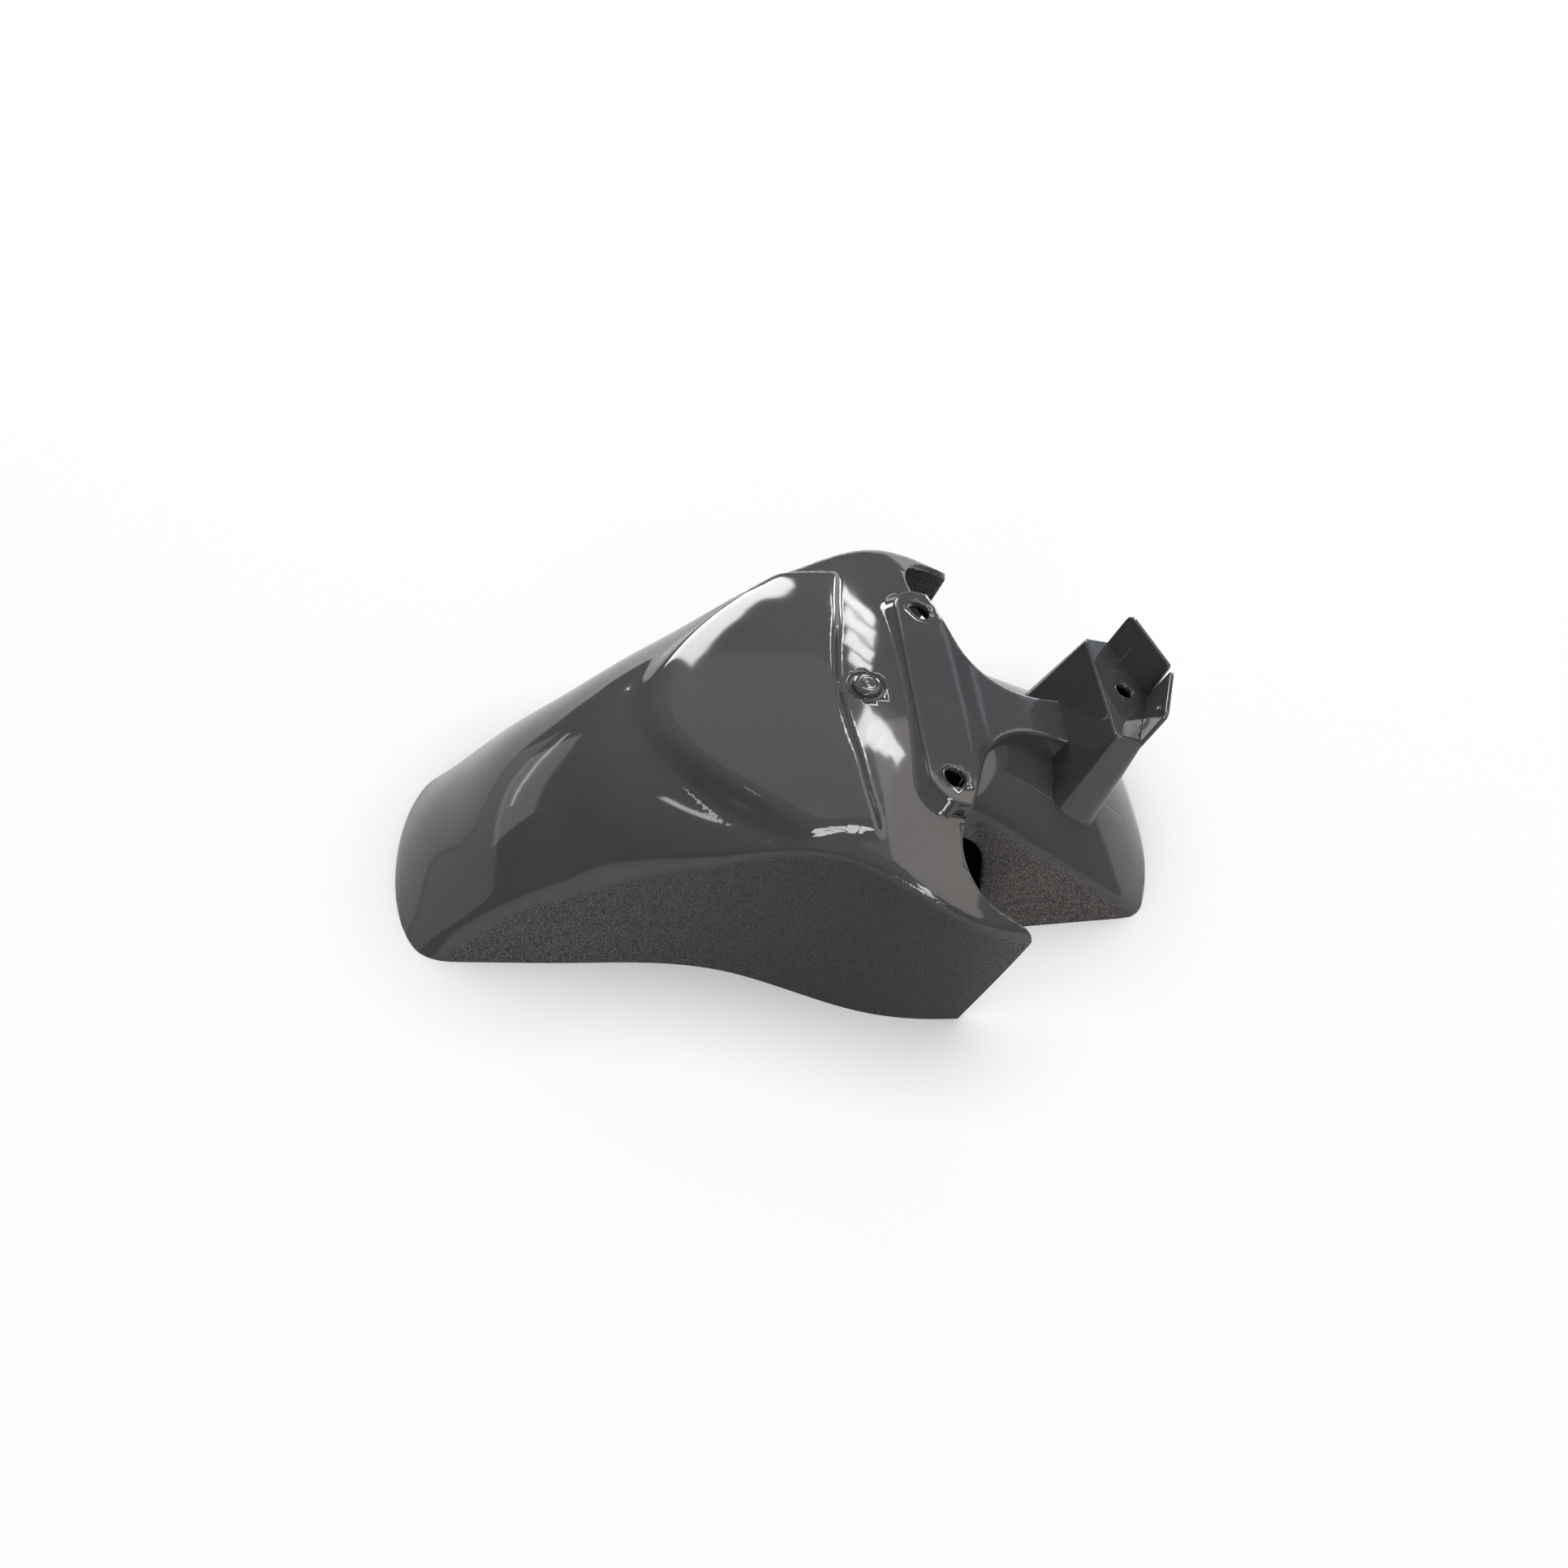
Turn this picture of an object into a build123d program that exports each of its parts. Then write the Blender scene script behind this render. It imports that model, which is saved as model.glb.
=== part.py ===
from build123d import *
from math import cos, radians, sin, sqrt
import os

# Front mudguard of a small-wheeled motor scooter, moulded in one piece.
# Millimetres. +X points to the rear, +Y to the right, +Z up. The rest plane is z = 0 and
# the origin lies on it, midway between nose and tail.

wall = 2.6

# The arch follows the wheel: each of its sections is cut by a plane through the axle.
axle_x = -1.5
axle_drop = 112
crown_root = 80
crown_span = 0.93
crown_overhang = 22

# Front arch with the wings, nose to wing tip: angle from the vertical, radius from the
# axle to the crown, and crown radius across.
arch_stations = ((-66, 232, 150), (-57, 228, 120), (-48, 223, 105), (-38, 224, 87),
                 (-28, 227, 80), (-18, 232, 90), (-8, 234, 125), (0, 234, 230), (7, 234, 480),
                 (20, 235, 500), (36, 236, 320))
wing_span = 132

# Skirts, from the nose back: x and half-width on the floor, then at brow height.
brow_height = 110
skirt_stations = ((-203, 0, -180, 0), (-200.5, 38, -177, 12), (-193, 54, -172, 24),
                  (-182, 60.5, -166, 32), (-150, 65.7, -145, 41), (-109.5, 70, -109.5, 52),
                  (-27.5, 83.5, -27.5, 77.5), (35.5, 112, 35.5, 97), (83.5, 120.6, 83.5, 120.6))
skirt_top = 150
body_end = 150

# Rear edge of each wing, seen from the side.
wing_foot_x = 83.5
wing_tip_x = 114
wing_tip_z = 75
wing_tip_radius = 6

# Mounting pad with its two bolt holes, square to the steering axis.
pad_tilt = 22.65
pad_x = 83.5
pad_z = 110
pad_front = -14
pad_half = 69
pad_corner_radius = 15
pad_edge = 1.6
pad_depth = 75
bolt_half_pitch = 54.5
bolt_hole_radius = 5.9
bolt_cut = 20

# Bays that clear the fork legs, in the plane of the pad: the neck is what they leave.
# Each edge runs from the riser round the bolt hole to the wing tip.
bay_edge = ((74, 14), (57, 12.6), (35, 20), (20.4, 38), (10.5, 61), (3, 86), (12.5, 108),
            (32, 116), (40, 119), (42, 123))
bay_reach = 170
bay_width = 150
bay_depth = 32
bay_wall_half = 56
neck_overlap = 8

# The neck lies a soft step lower than the pad.
neck_drop = 2.2
neck_step_start = 12
neck_step_end = 24

# Raised hood panel ahead of the pad: plan outline at mid height and the spread of its foot.
hood_radius = 237
hood_crown = 400
hood_start_angle = -26
hood_end_angle = 18
hood_steps = 6
hood_apex = -58
hood_shoulder = (-30, 47)
hood_side = (10, 83)
hood_rear_corner = (42, 80)
hood_rear = 35
hood_spread = 14
hood_base = 90
hood_top = 130

# Rear arch behind the bays, with narrow skirts of its own.
tail_stations = ((-4, 232, 78), (10, 232, 76), (24, 232, 76), (38, 232, 80), (52, 233, 130),
                 (66, 234, 290))
tail_span = 80
tail_half = 71
tail_end = 203
tail_corner_radius = 28
tail_start = 20
tail_lean = 16
tail_height = 110
tail_skirt_front = 102.5
tail_skirt_top = 76
tail_skirt_radius = 25

# Riser behind the neck: hollow, five-sided, wider at its foot, with a bolt hole on top.
riser_x = 178.5
riser_z = 98.8
riser_front = -14.2
riser_rear = 1.5
riser_apex = 16
riser_front_half = 33
riser_half = 34.3
riser_draft = 8
riser_depth = 75
riser_edge = 1.6
riser_hole_radius = 4.4
riser_hole_cut = 8

# Two thin plates stand on the rear edges of the riser, with a tapered slit between them.
plate_height = 21
plate_thickness = 2.4
plate_slit_foot = 0.6
plate_slit_top = 4.4

# Blind round boss moulded between the hood and the pad, in a shallow ring.
boss_angle = 12.4
boss_radius = 7.4
boss_rise = 2.4
boss_edge = 1.6
boss_ring_radius = 9.8
boss_ring_depth = 0.9

# Length that reaches past the part.
beyond = 300


def crown_height(angle):
    """Distance of the front arch's crown from the axle, taken straight between its stations."""
    for (start, low, _), (end, high, _) in zip(arch_stations, arch_stations[1:]):
        if start <= angle <= end:
            return low + (high - low) * (angle - start) / (end - start)


across = (0, 1, 0)
pad_plane = Plane(origin=(pad_x, 0, pad_z),
                  x_dir=(cos(radians(pad_tilt)), 0, -sin(radians(pad_tilt))),
                  z_dir=(sin(radians(pad_tilt)), 0, cos(radians(pad_tilt))))
riser_plane = Plane(origin=(riser_x, 0, riser_z), x_dir=pad_plane.x_dir, z_dir=pad_plane.z_dir)

boss_lean = radians(boss_angle)
boss_distance = crown_height(boss_angle)
boss_plane = Plane(origin=(axle_x + boss_distance * sin(boss_lean), 0,
                           boss_distance * cos(boss_lean) - axle_drop),
                   x_dir=(cos(boss_lean), 0, -sin(boss_lean)), z_dir=(sin(boss_lean), 0, cos(boss_lean)))


def section_plane(angle):
    """Plane through the wheel axle: its x runs across, its y runs out from the axle."""
    return Plane(origin=(axle_x, 0, -axle_drop), x_dir=across,
                 z_dir=(cos(radians(angle)), 0, -sin(radians(angle))))


def shifted(points, amount):
    """Points of a spline moved square to it, to its left."""
    edge = Spline(points, mode=Mode.PRIVATE)
    moved = []
    for x, y in points:
        along = edge.tangent_at((x, y, 0))
        moved.append((x - amount * along.Y, y + amount * along.X))
    return moved


def crown_loft(stations, inset, span):
    """Solid under a crowned arch: an arc across each section, then straight flanks."""
    with BuildPart() as crown:
        for angle, radius, crown_radius in stations:
            bend = crown_radius - inset
            half = min(crown_span * bend, span)
            rise = sqrt(bend ** 2 - half ** 2)
            shoulder = radius - inset - bend + rise
            reach = half + crown_overhang
            foot = shoulder - crown_overhang * half / rise
            with BuildSketch(section_plane(angle)):
                with BuildLine():
                    ThreePointArc((-half, shoulder), (0, radius - inset), (half, shoulder))
                    Polyline((half, shoulder), (reach, foot), (reach, crown_root),
                             (-reach, crown_root), (-reach, foot), (-half, shoulder))
                make_face()
        loft()
    return crown.part


def skirt_loft(inset):
    """Solid inside the skirts: the floor outline joined to the outline above brow height."""
    growth = skirt_top / brow_height
    floor_edge = [(x, y) for x, y, _, _ in skirt_stations]
    top_edge = [(x + growth * (brow_x - x), y + growth * (brow_y - y))
                for x, y, brow_x, brow_y in skirt_stations]
    with BuildPart() as skirts:
        for height, edge in ((0, floor_edge), (skirt_top, top_edge)):
            outline = shifted([(x, -y) for x, y in reversed(edge[1:])] + edge, -inset)
            with BuildSketch(Plane.XY.offset(height)):
                with BuildLine():
                    Spline(outline)
                    Polyline(outline[-1], (body_end, outline[-1][1]), (body_end, outline[0][1]),
                             outline[0])
                make_face()
        loft()
    return skirts.part


def hood_loft(inset):
    """Solid inside the hood outline: its foot spreads, its rear edge stands steep."""
    with BuildPart() as hood:
        for height, spread in ((hood_base, hood_spread), (hood_top, -hood_spread)):
            grow = spread - inset
            apex = (hood_apex - grow, 0)
            shoulder = (hood_shoulder[0] - grow / 2, hood_shoulder[1] + grow / 2)
            side = (hood_side[0], hood_side[1] + grow / 2)
            corner = (hood_rear_corner[0] - inset, hood_rear_corner[1] + grow / 2)
            with BuildSketch(Plane.XY.offset(height)):
                with BuildLine():
                    Spline((side[0], -side[1]), (shoulder[0], -shoulder[1]), apex, shoulder, side)
                    Polyline(side, corner)
                    ThreePointArc(corner, (hood_rear - inset, 0), (corner[0], -corner[1]))
                    Polyline((corner[0], -corner[1]), (side[0], -side[1]))
                make_face()
        loft(ruled=True)
    return hood.part


def wide_body(inset):
    """Front arch, wings and hood as one solid, its faces moved in by the inset."""
    turn = (hood_end_angle - hood_start_angle) / hood_steps
    stations = [(hood_start_angle + turn * step, hood_radius, hood_crown)
                for step in range(hood_steps + 1)]
    with BuildPart() as hood:
        add(crown_loft(stations, inset, wing_span))
        add(hood_loft(inset), mode=Mode.INTERSECT)
    with BuildPart() as body:
        add(crown_loft(arch_stations, inset, wing_span))
        add(skirt_loft(inset), mode=Mode.INTERSECT)
        add(hood.part)
    return body.part


def tail_body(inset):
    """Rear arch inside its skirts as one solid, its faces moved in by the inset."""
    length = tail_end - inset - tail_start
    with BuildPart() as plan:
        with BuildSketch():
            with Locations((tail_start + length / 2, 0)):
                Rectangle(length, 2 * (tail_half - inset))
        extrude(amount=tail_height, taper=tail_lean)
        fillet(plan.edges().filter_by(lambda edge: edge.center().X > tail_end - tail_height / 2)
               .filter_by(lambda edge: abs(edge.center().Y) > tail_half / 3), tail_corner_radius - inset)
    with BuildPart() as body:
        add(crown_loft(tail_stations, inset, tail_span))
        add(plan.part, mode=Mode.INTERSECT)
    return body.part


def bay_outline(side, growth):
    """Closed outline of one bay in the pad plane, its edge moved into the mount by the growth."""
    edge = Spline([(x, side * y) for x, y in shifted(bay_edge, growth)])
    Polyline(edge @ 1, (bay_edge[-1][0], side * bay_width), (bay_reach, side * bay_width),
             (bay_reach, (edge @ 0).Y), edge @ 0)


def bay_prism(side, growth, top, depth):
    """Prism over one bay, square to the pad, from the top down to the depth."""
    with BuildPart() as bay:
        with BuildSketch(pad_plane.offset(top)):
            with BuildLine():
                bay_outline(side, growth)
            make_face()
        extrude(amount=-depth - top)
    return bay.part


def wing_rear_prism():
    """Everything behind the slanted rear edges of the wings, seen from the side."""
    with BuildPart() as rear:
        with BuildSketch(Plane.XZ):
            with BuildLine():
                Polyline((wing_foot_x, 0), (wing_tip_x, wing_tip_z), (wing_tip_x, skirt_top),
                         (body_end, skirt_top), (body_end, -wall), (wing_foot_x, -wall),
                         (wing_foot_x, 0))
            make_face()
            tip = vertices().sort_by_distance((wing_tip_x, wing_tip_z, 0))[0]
            fillet(tip, wing_tip_radius)
        extrude(amount=bay_width, both=True)
    return rear.part


def tail_front_prism():
    """Side space ahead of the tail skirts, up to where the crown of the rear arch begins."""
    with BuildPart() as front:
        with BuildSketch(Plane.XZ):
            with BuildLine():
                Polyline((0, -wall), (tail_skirt_front, -wall), (tail_skirt_front, tail_skirt_top),
                         (0, tail_skirt_top), (0, -wall))
            make_face()
            corner = vertices().sort_by_distance((tail_skirt_front, tail_skirt_top, 0))[0]
            fillet(corner, tail_skirt_radius)
        extrude(amount=bay_width, both=True)
    return front.part


def rounds_pad(edge):
    """True for the edges of the pad's flat top that run round its front, from bay to bay."""
    middle = pad_plane.to_local_coords(edge.position_at(0.5))
    return abs(middle.Z) < pad_edge / 10 and middle.X < pad_front + pad_corner_radius


def mount_prism(inset):
    """Raised pad and neck, square to the steering axis, its faces moved in by the inset."""
    neck_end = bay_edge[0][0] + neck_overlap
    length = neck_end - pad_front - inset
    with BuildPart() as mount:
        with BuildSketch(pad_plane.offset(-inset)):
            with Locations((neck_end - length / 2, 0)):
                RectangleRounded(length, 2 * (pad_half - inset), pad_corner_radius - inset)
            for side in (1, -1):
                with BuildLine():
                    bay_outline(side, inset)
                make_face(mode=Mode.SUBTRACT)
        extrude(amount=inset - pad_depth)
        with BuildSketch(Plane(origin=pad_plane.origin, x_dir=pad_plane.x_dir, z_dir=(0, -1, 0))):
            with BuildLine():
                Polyline((neck_step_start, -inset), (neck_step_end, -neck_drop - inset),
                         (bay_reach, -neck_drop - inset), (bay_reach, wall), (neck_step_start, wall),
                         (neck_step_start, -inset))
            make_face()
        extrude(amount=bay_width, both=True, mode=Mode.SUBTRACT)
        if inset == 0:
            chamfer(mount.edges().filter_by(rounds_pad), pad_edge)
    return mount.part


def heads_riser(edge):
    """True for the edges at the front and sides of the riser, ahead of the plates."""
    return riser_plane.to_local_coords(edge.center()).X < 0


def riser_prism(inset):
    """Five-sided riser, wider towards its foot, its faces moved in by the inset."""
    with BuildPart() as riser:
        with BuildSketch(riser_plane.offset(-inset)):
            with BuildLine():
                Polyline((riser_front, -riser_front_half), (riser_front, riser_front_half),
                         (riser_rear, riser_half), (riser_apex, 0), (riser_rear, -riser_half),
                         (riser_front, -riser_front_half))
            make_face()
            if inset > 0:
                offset(amount=-inset, kind=Kind.INTERSECTION, mode=Mode.REPLACE)
        extrude(amount=inset - riser_depth, taper=-riser_draft)
        if inset == 0:
            foot = riser.faces().sort_by(Axis(riser_plane.origin, riser_plane.z_dir))[0]
            chamfer((riser.edges() - foot.edges()).filter_by(heads_riser), riser_edge)
    return riser.part


def band_prism():
    """Strips along the bays in which the wall under the pad edge runs down to the rear arch."""
    with BuildPart() as band:
        add(bay_prism(1, wall, bolt_cut, beyond))
        add(bay_prism(-1, wall, bolt_cut, beyond))
        with BuildSketch():
            Rectangle(2 * beyond, 2 * bay_wall_half)
        extrude(amount=beyond, both=True, mode=Mode.INTERSECT)
    return band.part


def slit_prism():
    """Tapered slit between the two plates, open at the top."""
    with BuildPart() as slit:
        with BuildSketch(Plane(origin=riser_plane.origin, x_dir=across, z_dir=riser_plane.x_dir)):
            with BuildLine():
                Polyline((-plate_slit_foot / 2, 0), (plate_slit_foot / 2, 0),
                         (plate_slit_top / 2, plate_height), (-plate_slit_top / 2, plate_height),
                         (-plate_slit_foot / 2, 0))
            make_face()
        extrude(amount=2 * riser_apex, both=True)
    return slit.part


wide_outer = wide_body(0)
wide_inner = wide_body(wall)
tail_outer = tail_body(0)
tail_inner = tail_body(wall)
mount_inner = mount_prism(wall)
riser_inner = riser_prism(wall)

with BuildPart() as bays:
    add(bay_prism(1, 0, bolt_cut, beyond))
    add(bay_prism(-1, 0, bolt_cut, beyond))

# Front shell: arch, wings and hood, open at the floor and behind.
with BuildPart() as front:
    add(wide_outer)
    add(wide_inner, mode=Mode.SUBTRACT)
    add(wing_rear_prism(), mode=Mode.SUBTRACT)
    for side in (1, -1):
        add(bay_prism(side, 0, bolt_cut, bay_depth), mode=Mode.SUBTRACT)

# Hollow under the wings, without the strips that the bay walls and the rear arch take.
with BuildPart() as hollow:
    add(wide_inner)
    add(bays.part, mode=Mode.SUBTRACT)
    add(band_prism(), mode=Mode.SUBTRACT)

# Rear shell: rear arch, pad, neck and riser.
with BuildPart() as rear:
    add(tail_outer)
    add(tail_front_prism(), mode=Mode.SUBTRACT)
    add(mount_prism(0))
    add(riser_prism(0))
    add(hollow.part, mode=Mode.SUBTRACT)
    add(tail_inner, mode=Mode.SUBTRACT)

with BuildPart() as mudguard:
    add(front.part)
    add(rear.part)
    add(mount_inner, mode=Mode.SUBTRACT)
    add(riser_inner, mode=Mode.SUBTRACT)

    # Plates on the riser.
    with BuildSketch(riser_plane):
        for side in (1, -1):
            with BuildLine():
                Polyline((riser_rear, side * riser_half), (riser_apex, 0),
                         (riser_apex - plate_thickness, 0),
                         (riser_rear - plate_thickness, side * riser_half),
                         (riser_rear, side * riser_half))
            make_face()
    extrude(amount=plate_height)
    add(slit_prism(), mode=Mode.SUBTRACT)

    # Boss: its seat is thickened underneath, then the ring is sunk and the head stands in it.
    with BuildSketch(boss_plane.offset(-boss_ring_depth - wall)):
        Circle(boss_ring_radius + wall)
    extrude(amount=wall)
    with BuildSketch(boss_plane.offset(-boss_ring_depth)):
        Circle(boss_ring_radius)
    extrude(amount=boss_rise, mode=Mode.SUBTRACT)
    with BuildSketch(boss_plane.offset(-boss_ring_depth)):
        Circle(boss_radius)
    extrude(amount=boss_ring_depth + boss_rise)
    chamfer(mudguard.edges().filter_by(GeomType.CIRCLE)
            .sort_by_distance(boss_plane.offset(boss_rise).origin)[0], boss_edge)

    # Bolt holes in the pad and the riser.
    with BuildSketch(pad_plane):
        with Locations((0, bolt_half_pitch), (0, -bolt_half_pitch)):
            Circle(bolt_hole_radius)
    extrude(amount=bolt_cut, both=True, mode=Mode.SUBTRACT)
    with BuildSketch(riser_plane):
        Circle(riser_hole_radius)
    extrude(amount=riser_hole_cut, both=True, mode=Mode.SUBTRACT)

mudguard.part.label = "mudguard"
os.makedirs("parts", exist_ok=True)
export_step(mudguard.part, "parts/mudguard.step")
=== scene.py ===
import bpy
import bmesh
import numpy as np
from math import acos, cos, hypot, pi, radians, sin, sqrt, tan
from mathutils import Matrix, Vector
from mathutils.geometry import delaunay_2d_cdt


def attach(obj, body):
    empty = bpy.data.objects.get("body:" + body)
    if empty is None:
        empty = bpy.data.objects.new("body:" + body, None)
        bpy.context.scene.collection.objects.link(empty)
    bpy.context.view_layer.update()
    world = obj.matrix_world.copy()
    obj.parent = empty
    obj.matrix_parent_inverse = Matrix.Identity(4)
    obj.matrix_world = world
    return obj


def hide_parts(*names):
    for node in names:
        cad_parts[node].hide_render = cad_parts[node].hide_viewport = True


# Front mudguard of a small scooter, in glossy dark grey plastic with grained skirts.
# The functions work in millimetres and every mesh is written in metres.

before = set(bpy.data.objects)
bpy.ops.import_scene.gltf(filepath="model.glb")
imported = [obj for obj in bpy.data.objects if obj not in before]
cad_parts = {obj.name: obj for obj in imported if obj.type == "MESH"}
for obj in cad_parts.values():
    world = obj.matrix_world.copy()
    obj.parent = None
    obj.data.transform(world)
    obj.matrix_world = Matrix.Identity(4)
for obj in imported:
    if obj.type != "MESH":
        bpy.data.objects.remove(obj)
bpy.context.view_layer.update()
print("frame loaded")

axle = (-1.5, -112.0)   # along and up, of the wheel that the arches go round
wallThickness = 2.6


def smoothCurve(pairs):
    # natural cubic through (place, value) pairs; past its ends it runs on straight
    xs = np.array([p[0] for p in pairs], float)
    ys = np.array([p[1] for p in pairs], float)
    count = len(xs)
    gaps = np.diff(xs)
    lhs = np.eye(count)
    rhs = np.zeros(count)
    for i in range(1, count - 1):
        lhs[i, i - 1:i + 2] = gaps[i - 1], 2 * (gaps[i - 1] + gaps[i]), gaps[i]
        rhs[i] = 6 * ((ys[i + 1] - ys[i]) / gaps[i] - (ys[i] - ys[i - 1]) / gaps[i - 1])
    bend = np.linalg.solve(lhs, rhs)

    def at(place):
        place = np.asarray(place, float)
        held = np.clip(place, xs[0], xs[-1])
        i = np.clip(np.searchsorted(xs, held) - 1, 0, count - 2)
        t, gap = held - xs[i], gaps[i]
        slope = (ys[i + 1] - ys[i]) / gap - gap * (2 * bend[i] + bend[i + 1]) / 6
        value = ys[i] + slope * t + bend[i] * t * t / 2 + (bend[i + 1] - bend[i]) * t ** 3 / (6 * gap)
        ending = slope + bend[i] * t + (bend[i + 1] - bend[i]) * t * t / (2 * gap)
        return value + ending * (place - held)
    return at


def softMin(a, b, width):
    near = np.maximum(width - np.abs(a - b), 0) / width
    return np.minimum(a, b) - near * near * width / 4


def softStep(value):
    t = np.clip(value, 0, 1)
    return t * t * (3 - 2 * t)


def curvePoints(points, count=12):
    # a smooth line through plan points, as a dense polyline
    places = [0.0]
    for a, b in zip(points, points[1:]):
        places.append(places[-1] + hypot(b[0] - a[0], b[1] - a[1]))
    xAt = smoothCurve([(s, p[0]) for s, p in zip(places, points)])
    yAt = smoothCurve([(s, p[1]) for s, p in zip(places, points)])
    steps = np.linspace(0, places[-1], count * len(points))
    return np.stack([xAt(steps), yAt(steps)], 1)


def distanceTo(outline, x, y):
    # signed distance to a closed outline, above zero inside it
    x, y = np.asarray(x, float), np.asarray(y, float)
    best = np.full(x.shape, 1e9)
    inside = np.zeros(x.shape, bool)
    for (ax, ay), (bx, by) in zip(outline, np.roll(outline, -1, 0)):
        dx, dy = bx - ax, by - ay
        t = np.clip(((x - ax) * dx + (y - ay) * dy) / (dx * dx + dy * dy + 1e-12), 0, 1)
        best = np.minimum(best, (x - ax - t * dx) ** 2 + (y - ay - t * dy) ** 2)
        crosses = (ay > y) != (by > y)
        inside ^= crosses & (x < ax + (y - ay) * dx / (dy if abs(dy) > 1e-12 else 1e-12))
    return np.where(inside, 1, -1) * np.sqrt(best)


archSizes = {
    "radius": ((-66, 232), (-57, 228), (-48, 223), (-38, 224), (-28, 227), (-18, 232),
               (-8, 234), (0, 234), (7, 234), (20, 235), (40, 236)),
    "crown": ((-66, 260), (-62, 176), (-57, 120), (-48, 103), (-38, 87), (-28, 80), (-18, 90),
              (-8, 125), (0, 230), (7, 480), (20, 500), (40, 320)),
    "floorHalf": ((-203, 57), (-182, 61.5), (-150, 65.7), (-109.5, 70), (-27.5, 83.5),
                  (35.5, 112), (83.5, 120.6), (114, 120.6)),
    "browHalf": ((-180, 27), (-166, 34), (-145, 42), (-109.5, 52), (-27.5, 77.5), (35.5, 97),
                 (83.5, 120.6), (114, 120.6)),
    "browHeight": 110,
    "nose": -206.5, "noseLean": 0.21, "noseBow": 0.0020, "noseCorner": 13,
    "creaseTail": 4, "creaseNose": 8, "creaseStart": -125, "creaseEnd": -190,
    "wingRear": 83.5, "wingRun": 30.5, "wingRise": 75,
}
hoodSizes = {
    "radius": 237, "crown": 520, "apex": -58, "spread": 0.0455, "power": 1.668, "round": 15,
    "half": 83, "frontSoft": 17, "frontLead": 9, "sideSoft": 12, "edgeSoft": 4.5, "edgeFrom": -15,
    "edgeRun": 25, "rearSoft": 4.2, "rearRise": 1.0, "riseFrom": 5, "riseRun": 30,
    "rear": ((0, 34.5), (30, 37.5), (45, 40), (60, 41.5), (74, 43.5), (90, 45)),
}
tailSizes = {
    "radius": ((-4, 232), (38, 232), (52, 233), (66, 234)),
    "crown": ((-4, 78), (10, 76), (24, 76), (38, 80), (52, 130), (66, 290)),
    "half": 71, "lean": 0.2867, "end": 203.2, "corner": 26, "crease": 4,
    "bayEdge": 102.5, "bayTop": 62, "bayCorner": 18, "start": 6, "tuck": 3.0,
}
padSizes = {
    "origin": (83.5, 0, 110), "tilt": 22.65, "front": -14, "half": 69, "corner": 15, "neckEnd": 82,
    "boltHalf": 54.5, "boltRadius": 5.9, "bayDepth": 32, "bayFoot": 9, "bayReach": (170, 150),
    "neckHalf": 56, "neckStart": 8, "neckLimit": 30, "frontLimit": 16, "gap": 1.0,
    "bayEdge": ((74, 14), (57, 12.6), (35, 20), (20.4, 38), (10.5, 61), (3, 86), (12.5, 108),
                (32, 116), (40, 119.3), (42, 124)),
    "neckDrop": 2.2, "stepStart": 12, "stepEnd": 26, "edge": 1.5, "frontSlope": 0.75,
    "frontEnd": 3, "frontBlend": 8, "frontSink": 0.45, "sink": 2.2, "footFlare": 2.4,
}
riserSizes = {
    "origin": (178.5, 0, 98.8), "front": -14.2, "rear": 1.5, "apex": 16, "frontHalf": 33,
    "half": 34.3, "draft": 8, "hole": 4.4, "corner": 2.4, "edge": 1.1,
    "sink": 2.2, "plateHeight": 21, "plateFoot": 3, "plateThickness": 2.2, "plateEdge": 0.55,
    "plateCorners": (0, 0, 3.2, 1.6), "slitFoot": 0.6, "slitTop": 4.4,
}
bossSizes = {
    "angle": 12.4, "distance": 234.4, "ring": 9.9, "lowest": 60,
    "profile": ((10.4, -0.75), (10.0, -0.2), (9.6, -0.18), (9.3, -0.45), (9.1, -0.95), (8.7, -1.2),
                (7.9, -1.2), (7.55, -0.95), (7.4, -0.4), (7.35, 0.7), (7.1, 1.35), (6.6, 1.8),
                (5.8, 2.15), (4.6, 2.35), (3.4, 2.3), (2.2, 2.05), (1.1, 1.9), (0.01, 1.85)),
    "under": ((0.01, -3.2), (9.0, -3.2), (10.4, -2.6)),
}

archRadius = smoothCurve(archSizes["radius"])
archBend = smoothCurve([(a, 1 / r) for a, r in archSizes["crown"]])
floorHalf = smoothCurve(archSizes["floorHalf"])
browHalf = smoothCurve(archSizes["browHalf"])
hoodRear = smoothCurve(hoodSizes["rear"])
tailRadius = smoothCurve(tailSizes["radius"])
tailBend = smoothCurve([(a, 1 / r) for a, r in tailSizes["crown"]])


def sectionPoint(angle, y, r):
    # a point of the section plane through the axle, in part coordinates
    return axle[0] + r * np.sin(angle), y, axle[1] + r * np.cos(angle)


def crownAt(radius, bend, y):
    # a round crown, which runs on straight where its side gets steep
    reach = 0.93 / bend
    inner = np.minimum(np.abs(y), reach)
    root = np.sqrt(1 - (inner * bend) ** 2)
    return radius - inner * inner * bend / (1 + root) - inner * bend / root * (np.abs(y) - inner)


def hoodTop(x, y):
    hood = hoodSizes["radius"] - y * y / (2 * hoodSizes["crown"])
    return hood + hoodSizes["rearRise"] * softStep((x - hoodSizes["riseFrom"]) / hoodSizes["riseRun"])


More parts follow.
